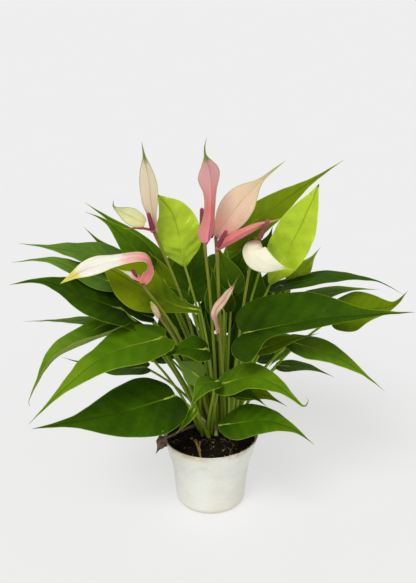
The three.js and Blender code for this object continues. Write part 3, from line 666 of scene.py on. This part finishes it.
def pot_material():
    m = Paint("pot_plastic", (234, 233, 224), Subsurface_Weight=0.15, Subsurface_Scale=0.004,
              Specular_IOR_Level=0.5)
    height = m.attribute("place")[0]
    spot = m.position()
    cloud, patch = m.noise(spot, 22, 4), m.noise(spot, 60, 5)
    scuffs = m.noise(m.stretch(spot, (1, 1, 7.0)), 75, 4)
    m.coat(m.ramp(cloud, 0.35, 0.7), (226, 223, 209))
    m.coat(m.times(m.ramp(patch, 0.55, 0.8), m.ramp(height, 8, 80, 0.12, 0.5)), (212, 198, 166))
    # Soil stains under the rim, scuffs, dark specks, and a foot that is darker and beiger towards the bottom
    stains = m.ramp(m.noise(spot, 90, 4), 0.35, 0.65, 0.15, 0.85)
    m.coat(m.times(m.ramp(height, 76, 84.5), stains), (190, 164, 122))
    m.coat(m.ramp(scuffs, 0.62, 0.74, 0, 0.35), (188, 182, 165))
    specks = m.ramp(m.cells(spot, 210, "F1"), 0.05, 0.16, 0.3, 0)
    m.coat(m.times(specks, m.ramp(m.noise(spot, 35, 2), 0.5, 0.62)), (126, 100, 68))
    m.coat(m.ramp(height, 0, 9, 0.75, 0), (200, 186, 148))
    m.bump((scuffs, 0.0005), (m.noise(spot, 500, 2), 0.00012), (cloud, 0.002))
    return m.finish(m.scaled(patch, 0.3, 0.3))


def soil_material():
    m = Paint("potting_soil", (12, 8, 6), Specular_IOR_Level=0.2)
    spot = m.position()
    coarse, fine = m.noise(spot, 130, 5), m.noise(spot, 700, 4, 0.7)
    m.coat(m.ramp(coarse, 0.3, 0.7), (40, 26, 17))
    m.coat(m.ramp(fine, 0.6, 0.78, 0, 0.55), (92, 66, 42))
    m.bump((coarse, 0.004), (fine, 0.0016))
    return m.finish(m.scaled(fine, 0.2, 0.78))


# Of each: dark and light green, rim and side veins, underside
TONES = {tone: leaf_material("leaf_" + tone, *colours, **more) for tone, colours, more in (
    ("deep", ((28, 56, 2), (64, 98, 3), (150, 178, 40), (104, 134, 52)), dict(gloss=0.5, shine=0.1)),
    ("mid", ((42, 76, 2), (86, 122, 8), (164, 190, 50), (116, 144, 56)), {}),
    ("soft", ((72, 108, 26), (108, 142, 46), (166, 190, 84), (122, 150, 64)), dict(gloss=0.52)),
    ("bright", ((66, 104, 3), (108, 142, 14), (178, 200, 60), (146, 166, 66)), {}),
    ("olive", ((84, 108, 1), (118, 138, 3), (182, 196, 60), (126, 144, 50)), {}),
    ("turning", ((38, 70, 3), (116, 134, 3), (176, 190, 60), (120, 140, 50)), dict(outward=1)),
    ("lime", ((140, 176, 10), (192, 216, 58), (220, 232, 120), (150, 184, 30)),
     dict(veins=7, gloss=0.26, shine=0.5)),
)}
LEAF_STALK = stalk_material("leaf_stalk", (116, 142, 28), (148, 174, 44), (160, 184, 58), 0.9)
FLOWER_STALK = stalk_material("flower_stalk", (108, 130, 28), (142, 148, 50), (150, 108, 62), 0.93)
SHOOT = stalk_material("young_shoot", (176, 196, 96), (196, 214, 118), (214, 226, 150))
# Of each: base, middle and outer part, rim, tail, midrib and nerves, underside
SPATHES = {look: spathe_material("spathe_" + look, *colours, **more) for look, colours, more in (
    ("cream", ((244, 176, 156), (230, 212, 178), (234, 224, 192), (154, 170, 50), (120, 140, 40),
               (190, 186, 130), (222, 204, 168)), dict(spread=(0, 0.26, 0.75))),
    ("nodding", ((250, 136, 138), (254, 192, 184), (255, 253, 236), (236, 230, 120), (236, 222, 96),
                 (246, 222, 200), (252, 226, 206)), dict(spread=(0.2, 0.38, 0.52))),
    ("pink", ((248, 150, 150), (234, 110, 112), (228, 184, 180), (176, 150, 70), (128, 146, 56),
              (196, 124, 124), (226, 140, 140)), dict(spread=(0.06, 0.3, 0.6))),
    ("rose", ((220, 98, 102), (236, 125, 125), (242, 158, 146), (228, 132, 118), (176, 206, 40),
              (214, 108, 108), (238, 134, 132)), dict(spread=(0, 0.3, 0.7))),
    ("pale", ((236, 166, 152), (236, 202, 174), (232, 210, 166), (180, 190, 66), (170, 184, 60),
              (204, 182, 116), (226, 192, 164)), {}),
    ("white", ((190, 150, 140), (252, 246, 214), (254, 250, 222), (228, 226, 130), (214, 216, 70),
               (236, 232, 196), (250, 246, 226)), dict(spread=(0.02, 0.14, 0.6))),
    ("lemon", ((226, 220, 150), (230, 228, 172), (218, 220, 156), (156, 174, 56), (120, 148, 50),
               (188, 196, 100), (210, 212, 148)), {}),
    ("withered", ((214, 160, 140), (236, 196, 172), (232, 200, 172), (190, 140, 100), (150, 120, 70),
                  (170, 112, 92), (210, 166, 144)), {}),
)}
SPADICES = {look: spadix_material("spadix_" + look, base, tip) for look, base, tip in (
    ("dark", (92, 26, 42), (176, 40, 60)),
    ("brown", (96, 46, 40), (150, 92, 84)),
    ("cream", (206, 202, 120), (224, 226, 164)),
)}
DEAD = dry_material("dead_leaf", (104, 80, 66), (160, 132, 110))
ROOT = dry_material("bare_root", (136, 104, 62), (190, 158, 106))
PAPER = dry_material("papery_sheath", (150, 140, 110), (206, 200, 172), 0.6)
POT, SOIL = pot_material(), soil_material()


# ---- leaves and flowers

def keep(build, name, materials, slot_name, *nodes):
    """Makes the piece, which stands for these CAD nodes."""
    thing = build.mesh(name, materials)
    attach(thing, "root")
    if nodes:
        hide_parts(*nodes)


def stalk_radius(top, foot, sheath):
    """A stalk's radius: wider by its sheath at the soil, with a small knee under the blade or bloom."""
    def radius(t):
        knee = STALK_KNEE * math.exp(-((t - 0.97) / 0.035)**2)
        return foot + (top - foot) * min(1, t * 1.6) + sheath * math.exp(-(t / 0.09)**2) + knee
    return radius


def grow_leaf(plan):
    width = plan["width"]
    is_small = width < SMALL_LEAF
    sheet = Sheet(plan["rib"], width, plan["face"], plan.get("fold", 8), plan.get("tip_fold"),
                  wave=plan.get("wave", WAVE_SHARE * width), waves=draw.uniform(1.6, 2.6),
                  phase=draw.uniform(*ANY_TURN), droop=plan.get("droop", 0))
    build = Build()
    add_sheet(build, sheet, plan.get("outline", HEART), LEAF_THICKNESS, veins=7 if is_small else 9,
              quilt=0.15 if is_small else plan.get("quilt", 0.36),
              crumple=plan.get("crumple", 0.35), right=plan.get("right"))
    # The stalk runs on under the blade for a little, and narrows there
    forward = sheet.path.tangent(0)
    end = np.array(plan["rib"][0], float)
    under = -sheet.at(np.array(0.05), np.array(0.0))[1] * LEAF_THICKNESS
    onward = [end + forward * 5 + under, end + forward * 14 + under * 0.6]
    path = stalk_path(plan["foot"], end + under * 0.4, onward)
    radius = stalk_radius(1.05, 1.3, 0.9) if is_small else stalk_radius(1.25, 1.7, 0.9)
    add_tube(build, path, lambda t: radius(t) * (1 - 17 * max(0, t - 0.96)), slot=1)
    slot_name = "leaf_lime" if plan["tone"] == "lime" else "leaf_green"
    nodes = [plan["name"]] if plan["name"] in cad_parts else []
    keep(build, "grown_" + plan["name"], [TONES[plan["tone"]], LEAF_STALK], slot_name, *nodes)


def spadix_bumps(depth):
    """Rows of eight small flowers, each row a quarter step round from the last."""
    def bump(share, angle):
        row = share * 15
        return depth * (0.5 + 0.5 * math.cos(angle * 8 + row * math.pi * 0.5)) * abs(math.cos(row * math.pi))
    return bump


def spadix_radius(t):
    round_end = math.sqrt(max(0.0, 1 - max(0, (t - 0.9) / 0.1)**2))
    return max(0.15, SPADIX_RADIUS * (1 - 0.28 * t) * min(1, 0.35 + t * 9) * round_end)


def grow_spathe(name, look, outline, sheet, slot_name, *nodes, thickness=SPATHE_THICKNESS,
                rib=0.3, groove=0.15, per_span=5):
    build = Build()
    add_sheet(build, sheet, outline, thickness, rib=rib, groove=groove, quilt=0, per_span=per_span)
    keep(build, "grown_" + name, [SPATHES[look]], slot_name, *nodes)


def grow_flower(plan):
    name, look = plan["name"], plan["look"]
    stalk = Build()
    path = stalk_path(plan["foot"], plan["stalk_end"], [plan["rib"][0]])
    add_tube(stalk, path, stalk_radius(1.5, 2.1, 0.7), steps=40, sides=12)
    keep(stalk, "grown_stalk_" + name, [FLOWER_STALK], "flower_stalk", "stalk_" + name)
    sheet = Sheet(plan["rib"], plan["width"], plan["face"], plan["fold"], plan.get("tip_fold"),
                  wave=0.5, phase=1)
    slot_name = "spathe_cream" if look in PALE_LOOKS else "spathe_pink"
    grow_spathe("spathe_" + name, look, plan["outline"], sheet, slot_name, "spathe_" + name, per_span=7)
    spadix = Build()
    add_tube(spadix, Path(plan["spadix"]), spadix_radius, steps=60, sides=32, bumps=spadix_bumps(0.32))
    keep(spadix, "grown_spadix_" + name, [SPADICES["brown" if look == "white" else "dark"]], "spadix",
         "spadix_" + name)


for plan in LEAVES + FILLERS:
    grow_leaf(plan)
for plan in FLOWERS:
    grow_flower(plan)

# The small second spathe and the thin bract of the cream flower, and the nodding flower's lower lip
second = Sheet([(-65, -21, 340), (-80, -24, 349), (-94, -26, 358), (-95, -27, 367)], 18, (0, -0.8, 0.6),
               wave=0.4)
grow_spathe("spathe_small", "lemon", OPEN, second, "spathe_cream", "spathe_cream_small")
bract = Sheet([(-58, -13, 329), (-72, -20, 334), (-89, -26, 336)], 5, (0, -0.6, 1), fold=35, wave=0.3)
grow_spathe("bract", "rose", OPEN, bract, "spathe_pink", thickness=0.5, rib=0.2, groove=0.1)
lip = Sheet([(-66, -55, 291), (-74, -59, 297), (-84, -64, 306), (-91, -67, 312)], 13, (-0.5, -0.5, 1),
            fold=35, wave=0.4)
grow_spathe("nodding_lip", "nodding", OPEN, lip, "spathe_pink", groove=0.1)

withered = Build()
faded = Sheet([(8, -26, 222), (5, -26, 245), (15, -24, 260), (29, -22, 285)], 12, (-0.5, -1, 0.2),
              fold=40, wave=0.8, waves=4)
add_sheet(withered, faded, HOOD, SPATHE_THICKNESS, rib=0.3, groove=0.1, quilt=0, crumple=1.7)
add_tube(withered, stalk_path((17, 11), (8, -26, 225)), stalk_radius(1.2, 1.8, 0.6), slot=1)
keep(withered, "grown_withered", [SPATHES["withered"], FLOWER_STALK], "withered_flower", "flower_withered")


bud = Build()
add_tube(bud, Path([(-52, -54, 253), (-59, -56, 271)]),
         lambda t: 0.4 + 2.5 * math.sin(math.pi * (0.2 + 0.75 * t)), steps=26, sides=24,
         bumps=lambda t, angle: 0.45 * abs(math.sin((angle - t * 4) / 2)))
add_tube(bud, stalk_path((-5, 15), (-53, -54, 256)), stalk_radius(1.3, 1.9, 0.6), slot=1)
keep(bud, "grown_bud", [SPATHES["pale"], FLOWER_STALK], "flower_bud", "flower_bud")


young = Build()
add_tube(young, Path([(81, 24, 262), (93, 22, 273)]),
         lambda t: max(0.2, 2.4 * math.sqrt(max(0, 1 - (2 * t - 0.9)**2 * 0.9))),
         steps=40, sides=28, bumps=spadix_bumps(0.3))
add_tube(young, stalk_path((27, 21), (83, 24, 264)), stalk_radius(1.3, 1.9, 0.6), slot=1)
keep(young, "grown_young_flower", [SPADICES["cream"], FLOWER_STALK], "young_flower", "flower_young")


# ---- pot and soil

def pot_line(inset):
    """The pot's profile from the axis to just under the rim, set in from the outside by a distance."""
    middle = POT_FOOT - POT_ROUNDING
    bend = POT_ROUNDING - inset
    corner = [(middle + bend * math.sin(a), POT_ROUNDING - bend * math.cos(a))
              for a in np.linspace(0, math.pi / 2, 9)]
    wall = spline([(POT_FOOT, POT_ROUNDING), POT_WAIST, POT_COLLAR, (POT_RIM[0], POT_RIM[1] - 0.9)], 9)[1:]
    return [(0, inset)] + corner + [(r - inset, h) for r, h in wall]


def out_of_round(angle, height):
    share = max(0, height / POT_RIM[1])
    dent = math.sin(2 * angle + 0.4) * 0.35 + math.sin(3 * angle + 2) * 0.2
    ring = -0.22 * math.exp(-((height - POT_RING) / 1.2)**2)
    return dent * share**2 + ring


shell = Build()
lip_line = [(POT_RIM[0] + out, POT_RIM[1] - down)
            for out, down in ((0.25, 0.5), (0, 0.1), (-0.5, 0), (-1.0, 0.2), (-POT_WALL, 0.7))]
profile = pot_line(0) + lip_line + pot_line(POT_WALL)[::-1]
rings = [circle(radius, height, POT_SIDES, out_of_round) for radius, height in profile]
heights = [(height, 0, 0) for ring in rings for _, _, height in ring]
add_rings(shell, rings, place=heights)
keep(shell, "grown_pot", [POT], "pot_plastic", "pot")


def soil_height(x, y):
    r = math.hypot(x, y)
    mound = SOIL_MOUND * math.exp(-(r / 26)**2) - 1.5 * max(0, (r - 36) / 12)
    rough = noise.noise(Vector((x * 0.07, y * 0.07, 3))) * 1.3
    rough = rough + noise.noise(Vector((x * 0.25, y * 0.25, 7))) * 0.9
    return SOIL_LEVEL + mound + rough - 0.4


bed = Build()
crust = [[(x, y, soil_height(x, y)) for x, y, _ in circle(radius, 0, SOIL_SIDES)]
         for radius in np.linspace(0, SOIL_RADIUS, 34)]
deep = [circle(radius, height, SOIL_SIDES) for radius, height in ((48.0, 68), (44.5, 60), (0, 60))]
add_rings(bed, (crust + deep)[::-1])
keep(bed, "grown_soil", [SOIL], "potting_soil", "soil")


def add_crumb(build, centre, size, stretch, seed, slot=0):
    """A small irregular closed lump."""
    turn, tilt = draw.uniform(*ANY_TURN), draw.uniform(-0.6, 0.6)
    rings = []
    for r in range(CRUMB_ROWS + 1):
        lat = math.pi * r / CRUMB_ROWS
        ring = []
        for s in range(CRUMB_SIDES if 0 < r < CRUMB_ROWS else 1):
            lon = math.tau * s / CRUMB_SIDES
            wide = math.sin(lat)
            p = np.array([wide * math.cos(lon) * stretch, wide * math.sin(lon), math.cos(lat) * 0.7])
            x, y, z = p * (1 + 0.5 * noise.noise(Vector(p * 2.3) + Vector((seed, seed * 0.7, 0))))
            x, z = x * math.cos(tilt) - z * math.sin(tilt), x * math.sin(tilt) + z * math.cos(tilt)
            x, y = x * math.cos(turn) - y * math.sin(turn), x * math.sin(turn) + y * math.cos(turn)
            ring.append(np.array(centre) + size * np.array([x, y, z]))
        rings.append(ring)
    add_rings(build, rings[::-1], slot)


crumbs = Build()
for k in range(520):
    radius, angle = 48 * math.sqrt(draw.random()), draw.uniform(0, math.tau)
    x, y = radius * math.cos(angle), radius * math.sin(angle)
    size = draw.choice([0.5, 0.7, 0.9, 1.2, 1.7])
    add_crumb(crumbs, (x, y, soil_height(x, y) + size * 0.2), size, draw.uniform(1, 2.4), k * 1.7,
              0 if draw.random() < 0.93 else 1)
for k in range(26):
    # Crumbs caught on the rim at the right front
    angle = math.radians(draw.uniform(-75, -20))
    radius = 51.2 + draw.uniform(-1.2, 0.6)
    add_crumb(crumbs, (radius * math.cos(angle), radius * math.sin(angle), 84.6), draw.uniform(0.4, 1.0),
              draw.uniform(1, 1.8), 900 + k, draw.choice([0, 1, 1]))
keep(crumbs, "soil_crumbs", [SOIL, ROOT], "potting_soil")

fibres = Build()
for k in range(30):
    radius, angle, turn = 46 * math.sqrt(draw.random()), draw.uniform(*ANY_TURN), draw.uniform(*ANY_TURN)
    x, y = radius * math.cos(angle), radius * math.sin(angle)
    size = draw.uniform(4, 12)
    route = []
    for t in (0, 0.35, 0.7, 1):
        px = x + math.cos(turn + t * 1.2) * size * t
        py = y + math.sin(turn + t * 1.2) * size * t
        inward = min(1, FIBRE_REACH / math.hypot(px, py))
        px, py = px * inward, py * inward
        route.append((px, py, soil_height(px, py) + 0.5 + 1.2 * math.sin(math.pi * t)))
    add_tube(fibres, Path(route), lambda t: 0.24 * (1 - 0.6 * t), steps=10, sides=6)
keep(fibres, "soil_fibres", [ROOT], "dried_root")


root = Build()
for route, radius, taper, steps in (([(-17, -13, 82), (-13, -30, 83), (-11, -46, 83)], 1.9, 0.7, 30),
                                    ([(-14, -28, 83), (-12, -23, 83), (-12, -18, 84)], 1.5, 0.8, 20)):
    add_tube(root, Path(route), lambda t: radius - taper * t, steps=steps, sides=12,
             bumps=lambda t, angle: 0.25 * math.sin(angle * 2 + t * 9) + 0.2 * math.sin(t * 31))
keep(root, "grown_root", [ROOT], "dried_root", "surface_root")

shoot = Build()
add_tube(shoot, Path([(6, 2, FOOT_LEVEL - 1.5), (6, 1, 91)]), lambda t: max(0.25, 2.4 * (1 - t**1.6)),
         steps=20, sides=14, bumps=lambda t, angle: 0.25 * math.cos(angle * 2 + t * 3))
keep(shoot, "grown_shoot", [SHOOT], "young_shoot", "young_shoot")

dead = Build()
flap = Sheet([(-50, -25, 92), (-56, -28, 85), (-59, -31, 75)], 17, (-0.8, -0.5, 0.4), wave=1)
add_sheet(dead, flap, HEART, SPATHE_THICKNESS, rib=0.4, quilt=0.2, crumple=1.4)
add_tube(dead, stalk_path((-18, 17, 82), (-50, -25, 92), [(-52, -26, 90)]), stalk_radius(1.3, 1.9, 0.5),
         steps=30, bumps=lambda t, angle: 0.2 * math.sin(angle * 3 + t * 20))
keep(dead, "grown_dead_leaf", [DEAD], "dried_leaf", "dead_leaf")

# Papery sheaths round the crown, each from its foot to its top, with a height and a width
sheaths = Build()
for (x, y), (top_x, top_y), height, width in (((-6, 5), (-12, -3), 32, 9), ((6, 3), (6, -5), 22, 8),
                                              ((16, 8), (25, 0), 28, 8), ((0, 21), (-6, 27), 30, 9),
                                              ((18, 25), (26, 31), 26, 8)):
    rib = [(x, y, SHEATH_FOOT), ((x + top_x) / 2, (y + top_y) / 2, SHEATH_FOOT + height * 0.55),
           (top_x, top_y, SHEATH_FOOT + height)]
    wrap = Sheet(rib, width, (x - top_x, y - top_y, 4), fold=42, wave=0.7)
    add_sheet(sheaths, wrap, HOOD, SHEATH_THICKNESS, rib=0.2, quilt=0.1, crumple=0.5)
keep(sheaths, "crown_sheaths", [PAPER], "dried_leaf")


# ---- floor, light and camera

ground = Build()
ground.add([(-FLOOR, -FLOOR, 0), (FLOOR, -FLOOR, 0), (FLOOR, FLOOR, 0), (-FLOOR, FLOOR, 0)], [(0, 1, 2, 3)])
pale = Paint("floor", (150, 150, 150), Specular_IOR_Level=0.0, Emission_Color=linear((255, 254, 254)),
             Emission_Strength=0.57)
pale.coat(pale.noise(pale.position(), 9), (153, 153, 153))
ground.mesh("floor", [pale.finish(0.9)])

# The world lights the plant softly, and looks as pale as the floor where the camera sees it
world = bpy.data.worlds.new("studio")
world.use_nodes = True
sky = world.node_tree
strength = sky.nodes.new("ShaderNodeMath")
strength.operation = "MULTIPLY_ADD"
strength.inputs[1].default_value = SEEN_SKY - SKY
strength.inputs[2].default_value = SKY
sky.links.new(sky.nodes.new("ShaderNodeLightPath").outputs["Is Camera Ray"], strength.inputs[0])
sky.links.new(strength.outputs[0], sky.nodes["Background"].inputs["Strength"])
sky.nodes["Background"].inputs["Color"].default_value = (1, 1, 1, 1)
bpy.context.scene.world = world


def sun(name, power, spread, elevation, azimuth):
    light = bpy.data.lights.new(name, "SUN")
    light.energy = power
    light.angle = math.radians(spread)
    add_object(name, light).rotation_euler = (math.radians(90 - elevation), 0, math.radians(azimuth))


sun("key_light", power=1.95, spread=26, elevation=52, azimuth=-24)
sun("fill_light", power=0.5, spread=80, elevation=28, azimuth=40)

camera = bpy.data.cameras.new("camera")
camera.sensor_fit = "VERTICAL"
camera.sensor_height = SENSOR
camera.lens = SENSOR / VIEW_HEIGHT
camera.clip_end = 60
eye = add_object("camera", camera)
eye.location = EYE
eye.rotation_euler = (math.radians(EYE_TILT), 0, 0)
bpy.context.scene.camera = eye
bpy.context.scene.view_settings.view_transform = "Standard"
